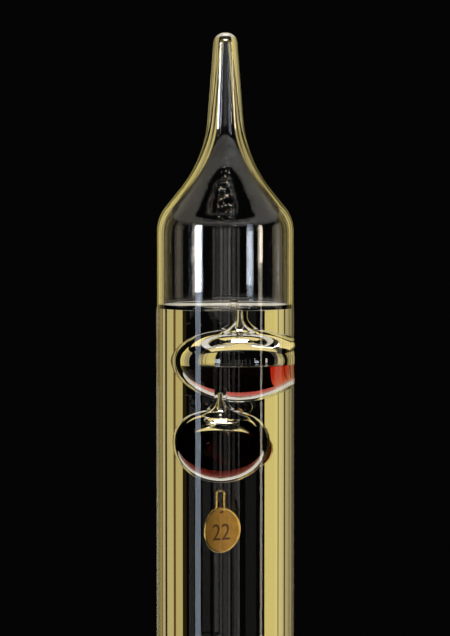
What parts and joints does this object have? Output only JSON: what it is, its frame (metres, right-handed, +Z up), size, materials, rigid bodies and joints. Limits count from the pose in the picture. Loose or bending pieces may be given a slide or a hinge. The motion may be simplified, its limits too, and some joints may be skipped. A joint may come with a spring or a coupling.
{
  "type": "floating bulb thermometer",
  "caption": "Sealed upright glass tube of clear liquid in which weighted glass bulbs with hanging brass tags rise and sink with the temperature.",
  "frame": {"origin": "middle of the foot's underside", "axes": "+Z up along the tube, +X to the right as pictured, -Y towards the camera"},
  "size_m": [0.058, 0.058, 0.28],
  "materials": {
    "tube_glass": "clear drawn glass",
    "bulb_glass": "clear blown glass",
    "clear_liquid": "clear liquid",
    "wire": "bare wire",
    "tag_brass": "stamped, lightly polished",
    "red_orange_dye": "dyed liquid",
    "amber_dye": "dyed liquid",
    "yellow_dye": "dyed liquid",
    "green_dye": "dyed liquid",
    "blue_dye": "dyed liquid"
  },
  "bodies": {
    "vessel": {"glass_tube": "tube_glass", "glass_foot": "tube_glass", "filling_liquid": "clear_liquid"},
    "float_1": {"float_1_bulb": "bulb_glass", "float_1_liquid": "red_orange_dye"},
    "link_1": {"float_1_link": "wire"},
    "tag_1": {"float_1_tag": "tag_brass"},
    "float_2": {"float_2_bulb": "bulb_glass", "float_2_liquid": "amber_dye"},
    "link_2": {"float_2_link": "wire"},
    "tag_2": {"float_2_tag": "tag_brass"},
    "float_3": {"float_3_bulb": "bulb_glass", "float_3_liquid": "yellow_dye"},
    "link_3": {"float_3_link": "wire"},
    "tag_3": {"float_3_tag": "tag_brass"},
    "float_4": {"float_4_bulb": "bulb_glass", "float_4_liquid": "green_dye"},
    "link_4": {"float_4_link": "wire"},
    "tag_4": {"float_4_tag": "tag_brass"},
    "float_5": {"float_5_bulb": "bulb_glass", "float_5_liquid": "blue_dye"},
    "link_5": {"float_5_link": "wire"},
    "tag_5": {"float_5_tag": "tag_brass"}
  },
  "joints": [
    {"name": "float_1_rise", "type": "slide", "parent": "vessel", "child": "float_1", "axis": [0, 0, 1], "range_m": [-0.003, 0], "stiffness_N_per_m": 0.1, "springref_m": 0.5, "deforming": ["filling_liquid"]},
    {"name": "link_1_swing", "type": "hinge", "parent": "float_1", "child": "link_1", "pos_m": [0.00247, 0.00612, 0.1705], "axis": [0.9613, -0.2756, 0], "range_deg": [0, 30]},
    {"name": "tag_1_swing", "type": "hinge", "parent": "link_1", "child": "tag_1", "pos_m": [0.00247, 0.00612, 0.165], "axis": [-0.2756, -0.9613, 0], "range_deg": [-30, 30]},
    {"name": "float_2_rise", "type": "slide", "parent": "vessel", "child": "float_2", "axis": [0, 0, 1], "range_m": [-0.025, 0], "stiffness_N_per_m": 0.1, "springref_m": 0.6},
    {"name": "link_2_swing", "type": "hinge", "parent": "float_2", "child": "link_2", "pos_m": [-0.00115, -0.0065, 0.1479], "axis": [0.6428, 0.766, 0], "range_deg": [-30, 30]},
    {"name": "tag_2_swing", "type": "hinge", "parent": "link_2", "child": "tag_2", "pos_m": [-0.00115, -0.0065, 0.1424], "axis": [0.766, -0.6428, 0], "range_deg": [-30, 30]},
    {"name": "float_3_rise", "type": "slide", "parent": "vessel", "child": "float_3", "axis": [0, 0, 1], "range_m": [0, 0.025]},
    {"name": "link_3_swing", "type": "hinge", "parent": "float_3", "child": "link_3", "pos_m": [0.0016, 0.0064, 0.07435], "axis": [0.9848, -0.1736, 0], "range_deg": [0, 30]},
    {"name": "tag_3_swing", "type": "hinge", "parent": "link_3", "child": "tag_3", "pos_m": [0.0016, 0.0064, 0.06885], "axis": [-0.1736, -0.9848, 0], "range_deg": [-30, 30]},
    {"name": "float_4_rise", "type": "slide", "parent": "vessel", "child": "float_4", "axis": [0, 0, 1], "range_m": [0, 0.0045]},
    {"name": "link_4_swing", "type": "hinge", "parent": "float_4", "child": "link_4", "pos_m": [-0.00069, -0.00656, 0.05015], "axis": [-0.9994, 0.0349, 0], "range_deg": [0, 30]},
    {"name": "tag_4_swing", "type": "hinge", "parent": "link_4", "child": "tag_4", "pos_m": [-0.00069, -0.00656, 0.04465], "axis": [0.0349, 0.9994, 0], "range_deg": [-30, 30]},
    {"name": "float_5_rise", "type": "slide", "parent": "vessel", "child": "float_5", "axis": [0, 0, 1], "range_m": [0, 0.001]},
    {"name": "link_5_swing", "type": "hinge", "parent": "float_5", "child": "link_5", "pos_m": [-0.00023, 0.0066, 0.02595], "axis": [0.9397, 0.342, 0], "range_deg": [-30, 5]},
    {"name": "tag_5_swing", "type": "hinge", "parent": "link_5", "child": "tag_5", "pos_m": [-0.00023, 0.0066, 0.02045], "axis": [0.342, -0.9397, 0], "range_deg": [-30, 30]}
  ]
}
